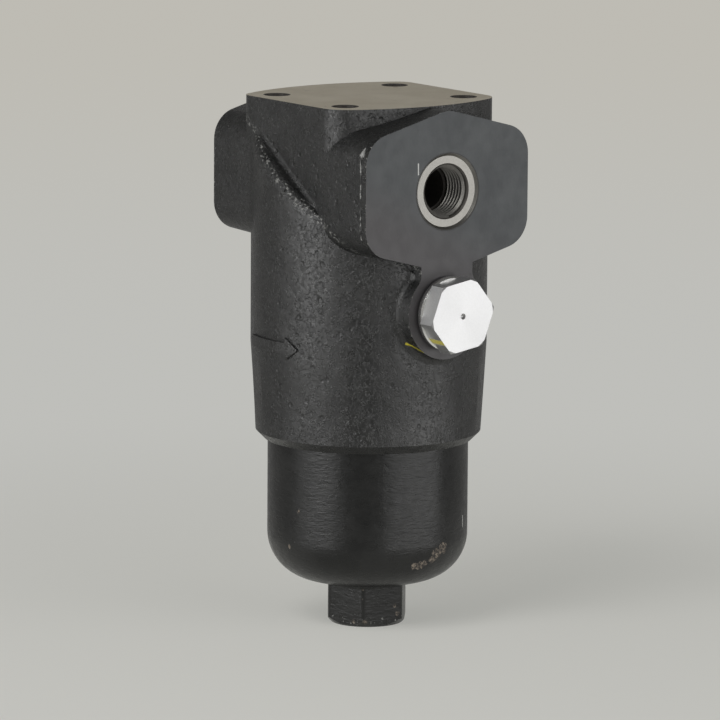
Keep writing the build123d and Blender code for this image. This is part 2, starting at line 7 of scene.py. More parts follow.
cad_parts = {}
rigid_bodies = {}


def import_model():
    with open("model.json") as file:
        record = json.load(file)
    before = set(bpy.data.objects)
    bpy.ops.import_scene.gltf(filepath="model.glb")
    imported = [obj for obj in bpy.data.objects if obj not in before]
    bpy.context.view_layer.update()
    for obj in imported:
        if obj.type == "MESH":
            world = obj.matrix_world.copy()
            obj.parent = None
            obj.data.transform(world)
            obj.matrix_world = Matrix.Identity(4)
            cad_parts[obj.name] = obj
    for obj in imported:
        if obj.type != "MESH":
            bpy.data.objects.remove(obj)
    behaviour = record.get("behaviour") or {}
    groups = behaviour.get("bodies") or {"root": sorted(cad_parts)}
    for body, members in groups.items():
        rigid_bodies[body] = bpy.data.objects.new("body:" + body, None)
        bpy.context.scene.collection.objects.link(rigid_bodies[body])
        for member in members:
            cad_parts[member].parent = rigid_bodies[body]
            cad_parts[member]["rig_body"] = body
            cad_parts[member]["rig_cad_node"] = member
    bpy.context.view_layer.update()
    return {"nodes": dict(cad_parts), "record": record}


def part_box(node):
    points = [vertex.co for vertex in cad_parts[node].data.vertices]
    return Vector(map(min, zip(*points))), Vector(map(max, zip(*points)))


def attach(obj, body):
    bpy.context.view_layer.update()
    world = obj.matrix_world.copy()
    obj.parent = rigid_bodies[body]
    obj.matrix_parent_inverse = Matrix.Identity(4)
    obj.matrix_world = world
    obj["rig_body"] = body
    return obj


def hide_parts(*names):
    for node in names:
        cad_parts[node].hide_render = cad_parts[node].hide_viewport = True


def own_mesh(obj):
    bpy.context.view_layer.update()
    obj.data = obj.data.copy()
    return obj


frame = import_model()
mm = 0.001
mounts = {mount["name"]: mount for mount in frame["record"]["mounts"]}
portZ = mounts["port_out"]["pos_m"][2]
topZ = mounts["top_face"]["pos_m"][2]
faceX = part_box("plug_seal")[0].x
plugZ = sum(corner.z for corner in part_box("plug_seal")) / 2
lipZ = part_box("head_casting")[0].z
print("frame loaded")


# Selecting and modifiers

def makeActive(piece):
    bpy.ops.object.select_all(action="DESELECT")
    piece.select_set(True)
    bpy.context.view_layer.objects.active = piece


def applyModifier(piece, kind, **settings):
    makeActive(piece)
    modifier = piece.modifiers.new(kind.title(), kind)
    for key, value in settings.items():
        setattr(modifier, key, value)
    bpy.ops.object.modifier_apply(modifier=modifier.name)


def settle(piece):
    # place, turn and size go into the mesh
    makeActive(piece)
    bpy.ops.object.transform_apply(location=True, rotation=True, scale=True)


def closeUp(piece):
    makeActive(piece)
    bpy.ops.object.mode_set(mode="EDIT")
    bpy.ops.mesh.select_all(action="SELECT")
    bpy.ops.mesh.remove_doubles(threshold=0.002 * mm)
    bpy.ops.mesh.fill_holes(sides=8)
    bpy.ops.mesh.normals_make_consistent(inside=False)
    bpy.ops.object.mode_set(mode="OBJECT")


def dressedCopy(nodeName, pieceName, sharpAngle):
    # a merged copy of a CAD node, which takes its own materials face by face
    source = frame["nodes"][nodeName]
    makeActive(source)
    bpy.ops.object.duplicate()
    piece = bpy.context.active_object
    piece.name = pieceName
    del piece["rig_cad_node"]
    bpy.ops.mesh.customdata_custom_splitnormals_clear()
    bpy.ops.object.mode_set(mode="EDIT")
    bpy.ops.mesh.select_all(action="SELECT")
    bpy.ops.mesh.remove_doubles(threshold=0.001 * mm)
    bpy.ops.object.mode_set(mode="OBJECT")
    bpy.ops.object.shade_smooth_by_angle(angle=math.radians(sharpAngle))
    applyModifier(piece, "WEIGHTED_NORMAL", keep_sharp=True, weight=100)
    piece.data.materials.clear()
    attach(piece, source["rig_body"])
    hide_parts(nodeName)
    return piece


def coat(piece, material):
    piece.data.materials.clear()
    piece.data.materials.append(material)


def coatWhere(piece, material, test):
    piece.data.materials.append(material)
    index = len(piece.data.materials) - 1
    for face in piece.data.polygons:
        if test(face.center, face.normal):
            face.material_index = index


# Shader parts, each of which hands back a socket

def plug(tree, target, value):
    if isinstance(value, bpy.types.NodeSocket):
        tree.links.new(value, target)
    else:
        target.default_value = value


def finish(name, roughness=0.5, metallic=0.0, colour=(0.5, 0.5, 0.5), specular=0.5):
    material = bpy.data.materials.new(name)
    material.use_nodes = True
    tree = material.node_tree
    shader = tree.nodes["Principled BSDF"]
    shader.inputs["Roughness"].default_value = roughness
    shader.inputs["Metallic"].default_value = metallic
    shader.inputs["Base Color"].default_value = (*colour, 1)
    shader.inputs["Specular IOR Level"].default_value = specular
    return material, tree, shader


def spot(tree, stretch=(1, 1, 1), turn=(0, 0, 0), centre=(0, 0, 0)):
    # place on the part in millimetres, from centre, stretched and turned for a pattern
    place = tree.nodes.new("ShaderNodeTexCoord")
    shift = tree.nodes.new("ShaderNodeMapping")
    shift.inputs["Scale"].default_value = (1 / mm, 1 / mm, 1 / mm)
    shift.inputs["Location"].default_value = [-c for c in centre]
    tree.links.new(place.outputs["Object"], shift.inputs["Vector"])
    shape = tree.nodes.new("ShaderNodeMapping")
    shape.inputs["Scale"].default_value = stretch
    shape.inputs["Rotation"].default_value = [math.radians(t) for t in turn]
    tree.links.new(shift.outputs["Vector"], shape.inputs["Vector"])
    return shape.outputs["Vector"]


def noise(tree, vector, scale, detail=3.0, rough=0.5, distortion=0.0):
    made = tree.nodes.new("ShaderNodeTexNoise")
    made.inputs["Scale"].default_value = scale
    made.inputs["Detail"].default_value = detail
    made.inputs["Roughness"].default_value = rough
    made.inputs["Distortion"].default_value = distortion
    tree.links.new(vector, made.inputs["Vector"])
    return made.outputs["Fac"]


def cells(tree, vector, scale):
    made = tree.nodes.new("ShaderNodeTexVoronoi")
    made.inputs["Scale"].default_value = scale
    tree.links.new(vector, made.inputs["Vector"])
    return made.outputs["Distance"]


def maths(tree, operation, a, b=0.0, clamp=False):
    made = tree.nodes.new("ShaderNodeMath")
    made.operation = operation
    made.use_clamp = clamp
    plug(tree, made.inputs[0], a)
    plug(tree, made.inputs[1], b)
    return made.outputs["Value"]


def fade(tree, value, low, high, outLow=0.0, outHigh=1.0):
    # a smooth step from outLow at low to outHigh at high
    made = tree.nodes.new("ShaderNodeMapRange")
    made.interpolation_type = "SMOOTHSTEP"
    plug(tree, made.inputs["Value"], value)
    made.inputs["From Min"].default_value = low
    made.inputs["From Max"].default_value = high
    made.inputs["To Min"].default_value = outLow
    made.inputs["To Max"].default_value = outHigh
    return made.outputs["Result"]


def between(tree, factor, first, second):
    made = tree.nodes.new("ShaderNodeMix")
    made.data_type = "RGBA"
    plug(tree, made.inputs["Factor"], factor)
    plug(tree, made.inputs["A"], (*first, 1) if isinstance(first, tuple) else first)
    plug(tree, made.inputs["B"], (*second, 1) if isinstance(second, tuple) else second)
    return made.outputs["Result"]


def parts(tree, vector):
    made = tree.nodes.new("ShaderNodeSeparateXYZ")
    tree.links.new(vector, made.inputs["Vector"])
    return made.outputs["X"], made.outputs["Y"], made.outputs["Z"]


def total(tree, *shares):
    # the sum of (value, weight) pairs
    result = 0.0
    for value, weight in shares:
        result = maths(tree, "ADD", maths(tree, "MULTIPLY", value, weight), result)
    return result


def band(tree, value, middle, half, soft):
    # 1 near middle, 0 beyond half plus soft
    off = maths(tree, "ABSOLUTE", maths(tree, "SUBTRACT", value, middle))
    return fade(tree, off, half, half + soft, 1.0, 0.0)


def farFrom(tree, vector, point):
    made = tree.nodes.new("ShaderNodeVectorMath")
    made.operation = "DISTANCE"
    tree.links.new(vector, made.inputs[0])
    made.inputs[1].default_value = point
    return made.outputs["Value"]


def along(tree, vector, start, end):
    # distance from a straight stroke between two places
    run = Vector(end) - Vector(start)
    away = tree.nodes.new("ShaderNodeVectorMath")
    away.operation = "SUBTRACT"
    tree.links.new(vector, away.inputs[0])
    away.inputs[1].default_value = start
    dot = tree.nodes.new("ShaderNodeVectorMath")
    dot.operation = "DOT_PRODUCT"
    tree.links.new(away.outputs["Vector"], dot.inputs[0])
    dot.inputs[1].default_value = run / run.length_squared
    share = maths(tree, "ADD", dot.outputs["Value"], 0.0, clamp=True)
    step = tree.nodes.new("ShaderNodeVectorMath")
    step.operation = "SCALE"
    step.inputs[0].default_value = run
    tree.links.new(share, step.inputs["Scale"])
    off = tree.nodes.new("ShaderNodeVectorMath")
    off.operation = "DISTANCE"
    tree.links.new(away.outputs["Vector"], off.inputs[0])
    tree.links.new(step.outputs["Vector"], off.inputs[1])
    return off.outputs["Value"]


def fromAxis(tree, a, b):
    # distance from the axis that stands across a and b
    squares = maths(tree, "ADD", maths(tree, "MULTIPLY", a, a), maths(tree, "MULTIPLY", b, b))
    return maths(tree, "SQRT", squares)


def roundGrain(tree, shader, centreZ, strength):
    # turned faces catch the light in streaks across their tool marks, round an axis along X
    y, z = parts(tree, spot(tree, centre=(0, 0, centreZ)))[1:]
    ring = tree.nodes.new("ShaderNodeCombineXYZ")
    tree.links.new(maths(tree, "MULTIPLY", z, -1.0), ring.inputs["Y"])
    tree.links.new(y, ring.inputs["Z"])
    turned = tree.nodes.new("ShaderNodeVectorTransform")
    turned.vector_type = "VECTOR"
    turned.convert_from = "OBJECT"
    turned.convert_to = "WORLD"
    tree.links.new(ring.outputs["Vector"], turned.inputs["Vector"])
    unit = tree.nodes.new("ShaderNodeVectorMath")
    unit.operation = "NORMALIZE"
    tree.links.new(turned.outputs["Vector"], unit.inputs[0])
    tree.links.new(unit.outputs["Vector"], shader.inputs["Tangent"])
    shader.inputs["Anisotropic"].default_value = strength
    return fromAxis(tree, y, z)


def relief(tree, shader, height, depth):
    # height 0..1 stands for depth millimetres
    made = tree.nodes.new("ShaderNodeBump")
    made.inputs["Strength"].default_value = 1.0
    made.inputs["Distance"].default_value = depth * mm
    tree.links.new(height, made.inputs["Height"])
    tree.links.new(made.outputs["Normal"], shader.inputs["Normal"])


# Finishes

paintTone = {
    "dark": (0.006, 0.0062, 0.006),
    "pale": (0.0125, 0.0127, 0.0122),
    "wornAndHighlight": (0.2, 0.2, 0.19),
    "primer": (0.24, 0.2, 0.16),
    "bare": (0.03, 0.027, 0.024),
    "scratch": (0.62, 0.62, 0.6),
    "tick": (0.5, 0.5, 0.48),
    "marker": (0.42, 0.36, 0.015),
}

# patterns are per millimetre, places and depths in millimetres
castGrain = {
    "grain": 1.0,
    "grainStretch": (1, 1, 0.8),
    "fine": 2.2,
    "lumps": 0.12,
    "pits": 0.17,
    "pitReach": (0.07, 0.2),
    "holeReach": (0.35, 0.95),
    "dripReach": (0.1, 0.7),
    "dripWaver": 0.5,
    "depth": 0.42,
    "roughness": (0.25, 0.35),
}
castShare = {
    "grain": 0.7,
    "creases": 0.9,
    "fine": 0.25,
    "lumps": 0.9,
    "pits": 0.5,
    "hole": -1.8,
    "drip": 0.5,
}
castWearAndHighlight = {
    "speckle": 0.9,
    "plainLimit": 0.735,
    # on the ledge's rim this share also thickens the flecks into a painted highlight
    "edgeShare": 0.17,      # how much sooner an edge wears
    "soft": 0.04,
    "faceBand": (1.2, 0.3),
}
# the ledge's rim, where the pale flecks thicken into a painted highlight
ledge = {
    "slope": math.tan(math.radians(34.4)),
    "rimHeight": 4.0,       # over the port's axis
    "rimHalf": 1.2,
    "rimSoft": 1.6,
    "outside": (43.5, 45.0),
}
markerPlan = {
    "stroke": ((45.5, -15.1, 119.8), (51.5, -11.0, 117.1)),
    "reach": (-0.05, 0.25),
    "waver": 0.8,
}
skirtDrip = ((-0.96, -45.1, 86.9), (-0.9, -45.0, 82.2))


def castPaint():
    # satin black over the skin that the sand mould left, worn to metal on its edges, with a painted
    # highlight of pale flecks along the ledge's rim
    material, tree, shader = finish("castPaint", 0.42, specular=0.65)
    here = spot(tree)
    grain = noise(tree, spot(tree, stretch=castGrain["grainStretch"]), castGrain["grain"], 2.5, 0.55, 0.9)
    creases = maths(tree, "ABSOLUTE", maths(tree, "SUBTRACT", grain, 0.5))
    fine = noise(tree, here, castGrain["fine"], 2.0, 0.5, 0.4)
    lumps = noise(tree, here, castGrain["lumps"], 2.0, 0.5)
    pits = fade(tree, cells(tree, here, castGrain["pits"]), *castGrain["pitReach"])

    # a pit in the skirt's paint with a drip under it
    waver = maths(tree, "MULTIPLY", fine, -castGrain["dripWaver"])
    offDrip = maths(tree, "ADD", along(tree, here, *skirtDrip), waver)
    hole = fade(tree, farFrom(tree, here, skirtDrip[0]), *castGrain["holeReach"], 1.0, 0.0)
    drip = fade(tree, offDrip, *castGrain["dripReach"], 1.0, 0.0)
    height = total(
        tree, (grain, castShare["grain"]), (creases, castShare["creases"]), (fine, castShare["fine"]),
        (lumps, castShare["lumps"]), (pits, castShare["pits"]), (hole, castShare["hole"]),
        (drip, castShare["drip"]),
    )
    relief(tree, shader, height, castGrain["depth"])
    cloud = fade(tree, noise(tree, here, 0.06, 3.0, 0.6), 0.35, 0.65)
    tone = between(tree, cloud, paintTone["dark"], paintTone["pale"])

    # pale flecks: worn paint, thick round the port faces, and a painted highlight of the rounded edge where
    # they thicken on the ledge's rim
    x, y, z = parts(tree, here)
    away = fromAxis(tree, x, y)
    plane = maths(tree, "ADD", z, maths(tree, "MULTIPLY", x, ledge["slope"]))
    onRim = band(tree, plane, portZ / mm + ledge["rimHeight"], ledge["rimHalf"], ledge["rimSoft"])
    onRim = maths(tree, "MULTIPLY", onRim, fade(tree, away, *ledge["outside"]))
    faceStart, faceFull = (faceX / mm - back for back in castWearAndHighlight["faceBand"])
    onFace = fade(tree, maths(tree, "ABSOLUTE", x), faceStart, faceFull)
    edges = maths(tree, "MAXIMUM", onRim, onFace)
    speckle = noise(tree, here, castWearAndHighlight["speckle"], 3.0, 0.6)
    sooner = maths(tree, "MULTIPLY", edges, castWearAndHighlight["edgeShare"])
    limit = maths(tree, "SUBTRACT", castWearAndHighlight["plainLimit"], sooner)
    wornAndHighlight = fade(tree, maths(tree, "SUBTRACT", speckle, limit), 0.0, castWearAndHighlight["soft"])
    tone = between(tree, wornAndHighlight, tone, paintTone["wornAndHighlight"])

    # a torque mark drawn across the foot of the plug's boss
    waver = maths(tree, "MULTIPLY", noise(tree, here, 0.7, 2.0), -markerPlan["waver"])
    offStroke = maths(tree, "ADD", along(tree, here, *markerPlan["stroke"]), waver)
    marked = fade(tree, offStroke, *markerPlan["reach"], 0.9, 0.0)
    tone = between(tree, marked, tone, paintTone["marker"])
    plug(tree, shader.inputs["Base Color"], tone)
    sheen = fade(tree, noise(tree, here, 0.35, 2.0), 0.3, 0.7, *castGrain["roughness"])
    plug(tree, shader.inputs["Roughness"], sheen)
    return material


facePaint = {
    "upper": ((0.034, 0.038, 0.041), (0.048, 0.053, 0.056)),
    "neck": (0.05, 0.046, 0.048),
    "neckHeights": (148.0, 176.0),
    "rim": (0.006, 0.0055, 0.005),
    "shadeRingRadii": (15.2, 15.75),
    "scratch": ((51.5, -14.3, 187.2), (51.5, -14.35, 191.4)),
    "scratchReach": (0.12, 0.36),
    "roughness": (0.33, 0.42),
}


def portPaint():
    # milled port faces under a thin coat, with one white scratch and a ring of painted shade round the
    # spotface
    material, tree, shader = finish("portPaint", 0.4, specular=0.4)
    here = spot(tree)
    fine = noise(tree, spot(tree, stretch=(1, 1, 0.6)), 1.1, 3.0, 0.55)
    dents = fade(tree, cells(tree, here, 0.09), 0.04, 0.11)
    relief(tree, shader, total(tree, (fine, 0.35), (dents, 0.6)), 0.07)
    cloud = fade(tree, noise(tree, here, 0.07, 4.0, 0.6), 0.3, 0.7)
    tone = between(tree, cloud, *facePaint["upper"])
    y, z = parts(tree, here)[1:]
    slanted = maths(tree, "ADD", z, maths(tree, "MULTIPLY", y, 0.5))
    onNeck = fade(tree, slanted, *facePaint["neckHeights"], 0.9, 0.0)
    tone = between(tree, onNeck, tone, facePaint["neck"])
    onScratch = fade(tree, along(tree, here, *facePaint["scratch"]), *facePaint["scratchReach"], 0.9, 0.0)
    tone = between(tree, onScratch, tone, paintTone["scratch"])
    # a dark ring just outside the spotface's edge is painted shade
    fromBore = fromAxis(tree, y, maths(tree, "SUBTRACT", z, portZ / mm))
    onRim = fade(tree, fromBore, *facePaint["shadeRingRadii"], 1.0, 0.0)
    tone = between(tree, onRim, tone, facePaint["rim"])
    plug(tree, shader.inputs["Base Color"], tone)
    sheen = fade(tree, noise(tree, here, 0.2, 3.0), 0.3, 0.7, *facePaint["roughness"])
    plug(tree, shader.inputs["Roughness"], sheen)
    return material


bowlGrain = {
    "ripple": 0.55,
    "stretch": (0.5, 0.5, 1.6),
    "fine": 1.8,
    "depth": 0.17,
    "roughness": (0.26, 0.36),
    "chippedRoughness": 0.7,
    "chipWaver": 2.4,
    "chipEdge": (2.1, 2.28),
    "tick": ((32.95, 22.9, 45.2), (32.8, 23.05, 40.9)),
    "tickReach": (0.15, 0.45),
    "footHeights": (3.6, 4.6),
    "footShare": 0.12,      # how much sooner the nose's foot rubs bare
    "rubLimits": (0.74, 0.78),
}
bowlChips = [
    # place on the bowl, reach
    ((38.7, 3.6, 30.6), 1.7), ((39.2, 5.6, 32.8), 2.4), ((38.9, 8.4, 34.7), 2.3),
    ((37.9, -4.3, 28.6), 1.6), ((38.1, -2.2, 28.8), 1.8), ((38.4, -0.2, 29.2), 1.4),
    ((7.5, -39.4, 49.6), 0.85), ((2.2, -39.9, 34.7), 0.8),
    ((13.1, -10.2, 2.3), 1.1), ((8.7, -12.9, 2.2), 0.8),
    ((15.8, 2.3, 8.2), 0.8), ((16.0, 3.5, 4.8), 0.9),
    ((12.0, -10.9, 12.0), 0.7), ((12.1, -10.8, 15.5), 0.6),
]


def bowlPaint():
    # smooth paint with low ripples that lie round the bowl, chipped down to primer and steel
    material, tree, shader = finish("bowlPaint", 0.32, specular=0.38)
    here = spot(tree)
    ripple = noise(tree, spot(tree, stretch=bowlGrain["stretch"]), bowlGrain["ripple"], 2.5, 0.55, 0.7)
    fine = noise(tree, here, bowlGrain["fine"], 2.0, 0.5)
    lumps = noise(tree, here, 0.1, 2.0)
    gaps = None
    for place, reach in bowlChips:
        near = maths(tree, "DIVIDE", farFrom(tree, here, place), reach)
        gaps = near if gaps is None else maths(tree, "MINIMUM", gaps, near)
    waver = maths(tree, "MULTIPLY", noise(tree, here, 0.55, 4.0, 0.7), bowlGrain["chipWaver"])
    chipped = fade(tree, maths(tree, "ADD", gaps, waver), *bowlGrain["chipEdge"], 1.0, 0.0)
    height = total(tree, (ripple, 0.9), (fine, 0.12), (lumps, 0.9), (chipped, -0.35))
    relief(tree, shader, height, bowlGrain["depth"])
    cloud = fade(tree, noise(tree, here, 0.05, 3.0, 0.6), 0.3, 0.7)
    tone = between(tree, cloud, paintTone["dark"], paintTone["pale"])
    inner = noise(tree, here, 0.8, 4.0, 0.7)
    under = between(tree, fade(tree, inner, 0.42, 0.66), paintTone["bare"], paintTone["primer"])
    tone = between(tree, chipped, tone, under)
    onTick = fade(tree, along(tree, here, *bowlGrain["tick"]), *bowlGrain["tickReach"], 0.8, 0.0)
    tone = between(tree, onTick, tone, paintTone["tick"])
    onFoot = fade(tree, parts(tree, here)[2], *bowlGrain["footHeights"], 1.0, 0.0)
    grit = noise(tree, here, 0.8, 3.0, 0.6)
    rub = maths(tree, "ADD", grit, maths(tree, "MULTIPLY", onFoot, bowlGrain["footShare"]))
    tone = between(tree, fade(tree, rub, *bowlGrain["rubLimits"]), tone, paintTone["wornAndHighlight"])
    plug(tree, shader.inputs["Base Color"], tone)
    sheen = fade(tree, noise(tree, here, 0.3, 2.0), 0.3, 0.7, *bowlGrain["roughness"])
    rough = (bowlGrain["chippedRoughness"],) * 3
    plug(tree, shader.inputs["Roughness"], between(tree, chipped, sheen, rough))
    return material


flashWearAndHighlight = {
    "bright": (0.4, 0.4, 0.39),
    "share": 0.75,
    "limits": (0.52, 0.62),
    "knob": (48.1, -38.6, 196.9),
    "knobReach": (0.8, 2.4),
}


def flashPaint():
    # the bead's paint is rubbed through to bright metal in places, and these bright patches also paint the
    # highlight along its ridge
    material, tree, shader = finish("flashPaint", 0.34, 0.0, paintTone["pale"])
    here = spot(tree)
    rub = noise(tree, spot(tree, stretch=(1, 1, 0.45)), 0.8, 3.0, 0.65)
    knob = fade(tree, farFrom(tree, here, flashWearAndHighlight["knob"]), *flashWearAndHighlight["knobReach"], 0.2, 0.0)
    bare = fade(tree, maths(tree, "ADD", rub, knob), *flashWearAndHighlight["limits"], 0.0, flashWearAndHighlight["share"])
    plug(tree, shader.inputs["Base Color"], between(tree, bare, paintTone["pale"], flashWearAndHighlight["bright"]))
    relief(tree, shader, rub, 0.1)
    return material


milledPlan = {
    "tones": ((0.84, 0.76, 0.6), (0.95, 0.87, 0.71)),
    "stain": (0.5, 0.42, 0.31),
    "stretch": (0.12, 2.0, 1),
    "strokeTurn": 24,
    "depth": 0.018,
    "roughness": (0.36, 0.5),
}


def milledIron():
    # bare warm grey face on which the bracket is bolted
    material, tree, shader = finish("milledIron", 0.42, 0.8)
    here = spot(tree)
    slanted = spot(tree, stretch=milledPlan["stretch"], turn=(0, 0, milledPlan["strokeTurn"]))
    strokes = noise(tree, slanted, 1.0, 3.0, 0.6)
    relief(tree, shader, strokes, milledPlan["depth"])
    cloud = fade(tree, noise(tree, here, 0.05, 4.0, 0.6), 0.3, 0.7)
    tone = between(tree, cloud, *milledPlan["tones"])
    stains = fade(tree, noise(tree, here, 0.22, 3.0, 0.65), 0.62, 0.74, 0.0, 0.55)
    tone = between(tree, stains, tone, milledPlan["stain"])
    plug(tree, shader.inputs["Base Color"], tone)
    plug(tree, shader.inputs["Roughness"], fade(tree, strokes, 0.3, 0.7, *milledPlan["roughness"]))
    return material


def turnedSteel(name, colour, roughness):
    material, tree, shader = finish(name, roughness, 1.0, colour)
    fine = noise(tree, spot(tree), 2.2, 3.0, 0.6)
    relief(tree, shader, fine, 0.01)
    plug(tree, shader.inputs["Roughness"], fade(tree, fine, 0.3, 0.7, roughness * 0.8, roughness * 1.25))
    return material


def boredIron(name, dark, pale, roughness, metallic):
    material, tree, shader = finish(name, roughness, metallic)
    fine = noise(tree, spot(tree), 1.2, 3.0, 0.6)
    relief(tree, shader, fine, 0.03)
    plug(tree, shader.inputs["Base Color"], between(tree, fine, dark, pale))
    return material


ringPitch = 0.42     # feed of the lathe, in millimetres


def facedSteel(name, centreZ, tones, roughness, strength, marks):
    # bright end face with fine rings from the lathe, round an axis along X
    material, tree, shader = finish(name, roughness, 1.0)
    away = roundGrain(tree, shader, centreZ, strength)
    rings = maths(tree, "SINE", maths(tree, "MULTIPLY", away, 2 * math.pi / ringPitch))
    fine = noise(tree, spot(tree), 1.6, 3.0, 0.6)
    relief(tree, shader, total(tree, (rings, marks), (fine, 0.4)), 0.012)
    plug(tree, shader.inputs["Base Color"], between(tree, fine, *tones))
    return material


flatPlan = {
    "tones": ((0.5, 0.5, 0.51), (0.74, 0.74, 0.73)),
    "depth": 0.06,
    "markHeight": 121.5,
    "markHalf": 1.0,
    "markSoft": 0.3,
    "markSide": (-9.0, -8.0),
    "markShare": 0.9,
}


def hexFlats():
    # sawn flats of the plug, greyer than its face, with the end of the torque mark
    material, tree, shader = finish("hexFlats", 0.42, 1.0)
    here = spot(tree)
    grit = noise(tree, here, 2.2, 3.0, 0.7)
    relief(tree, shader, grit, flatPlan["depth"])
    tone = between(tree, grit, *flatPlan["tones"])
    y, z = parts(tree, here)[1:]
    level = band(tree, z, flatPlan["markHeight"], flatPlan["markHalf"], flatPlan["markSoft"])
    mark = maths(tree, "MULTIPLY", level, fade(tree, y, *flatPlan["markSide"], 1.0, 0.0))
    tone = between(tree, maths(tree, "MULTIPLY", mark, flatPlan["markShare"]), tone, paintTone["marker"])
    plug(tree, shader.inputs["Base Color"], tone)
    plug(tree, shader.inputs["Metallic"], maths(tree, "SUBTRACT", 1.0, mark))
    return material


def sealRubber():
    material, tree, shader = finish("sealRubber", 0.55, 0.0, (0.012, 0.012, 0.013))
    fine = noise(tree, spot(tree), 3.0, 2.0, 0.5)
    relief(tree, shader, fine, 0.02)
    plug(tree, shader.inputs["Roughness"], fade(tree, fine, 0.3, 0.7, 0.45, 0.65))
    return material


def plainFinish(name, colour, roughness, grain=1.5, depth=0.03):
    material, tree, shader = finish(name, roughness, 0.0, colour)
    fine = noise(tree, spot(tree), grain, 3.0, 0.6)
    relief(tree, shader, fine, depth)
    darker = tuple(0.85 * c for c in colour)
    plug(tree, shader.inputs["Base Color"], between(tree, fine, darker, colour))
    return material


finishes = {
    "castPaint": castPaint(),
    "portPaint": portPaint(),
    "bowlPaint": bowlPaint(),
    "flashPaint": flashPaint(),
    "milledIron": milledIron(),
    "boredIron": boredIron("boredIron", (0.05, 0.047, 0.043), (0.12, 0.11, 0.1), 0.45, 0.6),
    "threadIron": boredIron("threadIron", (0.16, 0.155, 0.145), (0.3, 0.29, 0.27), 0.3, 1.0),
    "spotfaceSteel": facedSteel(
        "spotfaceSteel", portZ / mm, ((0.2, 0.195, 0.18), (0.3, 0.29, 0.27)),
        roughness=0.34, strength=0.5, marks=0.5,
    ),
    "plugFace": facedSteel(
        "plugFace", plugZ / mm, ((0.46, 0.46, 0.46), (0.55, 0.55, 0.55)),
        roughness=0.3, strength=0.75, marks=0.35,
    ),
    "hexFlats": hexFlats(),
    "brightPlate": turnedSteel("brightPlate", (0.86, 0.86, 0.84), 0.22),
    "turnedSteel": turnedSteel("turnedSteel", (0.55, 0.55, 0.54), 0.28),
    "platedSheet": turnedSteel("platedSheet", (0.62, 0.62, 0.6), 0.3),
    "springSteel": turnedSteel("springSteel", (0.4, 0.4, 0.42), 0.32),
    "sealRubber": sealRubber(),
    "backupPlastic": plainFinish("backupPlastic", (0.85, 0.85, 0.82), 0.4),
    "filterPaper": plainFinish("filterPaper", (0.86, 0.84, 0.76), 0.8, 2.5, 0.06),
}
print("finishes made")


# Head

headPlan = {
    "sharpAngle": 32,
    "spotface": 15.05 * mm,
    "spotfaceDepth": 1.05 * mm,
    "portBore": 11.15 * mm,
    "boltReach": 5.5 * mm,
    "boltDepth": 18 * mm,
    "skirtBore": 40.9 * mm,
    "hub": 20 * mm,
}
headCopy = dressedCopy("head_casting", "headCasting", headPlan["sharpAngle"])
bolts = mounts["bolts"]["dims"]
boltPlaces = [
    Vector((sx * bolts["spacing_x_mm"] / 2 * mm, sy * bolts["spacing_y_mm"] / 2 * mm))
    for sx in (-1, 1) for sy in (-1, 1)
]
tiny = 0.02 * mm


def fromPort(point):
    return math.hypot(point.y, point.z - portZ)


def onTop(point, normal):
    return normal.z > 0.99 and point.z > topZ - tiny


def onPortFace(point, normal):
    return abs(normal.x) > 0.99 and abs(point.x) > faceX - tiny


def inSpotface(point, normal):
    return abs(point.x) > faceX - headPlan["spotfaceDepth"] and fromPort(point) < headPlan["spotface"]


def inPort(point, normal):
    behind = abs(point.x) < faceX - headPlan["spotfaceDepth"] * 0.9
    return behind and fromPort(point) < headPlan["portBore"]


def inBoltHole(point, normal):
    flat = Vector((point.x, point.y))
    near = min((flat - place).length for place in boltPlaces)
    return near < headPlan["boltReach"] and topZ - headPlan["boltDepth"] < point.z < topZ - tiny


def insideHead(point, normal):
    radius = math.hypot(point.x, point.y)
    inward = normal.x * point.x + normal.y * point.y < 0
    deep = point.z < portZ - 1 * mm
    return deep and radius < headPlan["skirtBore"] and (inward or radius < headPlan["hub"])


headCopy.data.materials.append(finishes["castPaint"])
coatWhere(headCopy, finishes["boredIron"], insideHead)
coatWhere(headCopy, finishes["milledIron"], onTop)
coatWhere(headCopy, finishes["portPaint"], onPortFace)
coatWhere(headCopy, finishes["spotfaceSteel"], inSpotface)
coatWhere(headCopy, finishes["boredIron"], inPort)
coatWhere(headCopy, finishes["boredIron"], inBoltHole)
print("head dressed")


# Threads, each one ridge wound from a trapezoid

threadPlan = {
    "portMinor": 9.35 * mm,
    "portPitch": 1.814 * mm,
    "portMouth": 1.25 * mm,     # from the port's face
    "portEnd": 14.0 * mm,
    "boltMinor": 4.25 * mm,
    "boltPitch": 1.5 * mm,
    "boltMouth": 0.5 * mm,
    "boltEnd": 15 * mm,
    "sunk": 0.08 * mm,
    "rootShare": 0.45,          # half widths as shares of the pitch
    "crestShare": 0.09,
    "stepsPerTurn": 56,
    "smoothAngle": 35,
}


def threadRidge(name, root, crest, pitch, low, high):
    # a helical ridge about Z between the heights low and high
    turns = (high - low - pitch) / pitch
    bpy.ops.object.select_all(action="DESELECT")
    bpy.ops.mesh.primitive_plane_add(size=1)
    ridge = bpy.context.active_object
    ridge.name = name
    outward = 1 if crest > root else -1
    foot = root - outward * threadPlan["sunk"]
    profile = [
        (foot, threadPlan["rootShare"] * pitch), (foot, -threadPlan["rootShare"] * pitch),
        (crest, -threadPlan["crestShare"] * pitch), (crest, threadPlan["crestShare"] * pitch),
    ]
    corners = [ridge.data.vertices[i] for i in (0, 1, 3, 2)]
    for corner, (radius, height) in zip(corners, profile):
        corner.co = (radius, 0, low + pitch / 2 + height)
    steps = int(turns * threadPlan["stepsPerTurn"])
    applyModifier(
        ridge, "SCREW", axis="Z", angle=turns * 2 * math.pi, screw_offset=turns * pitch, iterations=1,
        steps=steps, render_steps=steps,
    )
    closeUp(ridge)
    bpy.ops.object.shade_smooth_by_angle(angle=math.radians(threadPlan["smoothAngle"]))
    return ridge


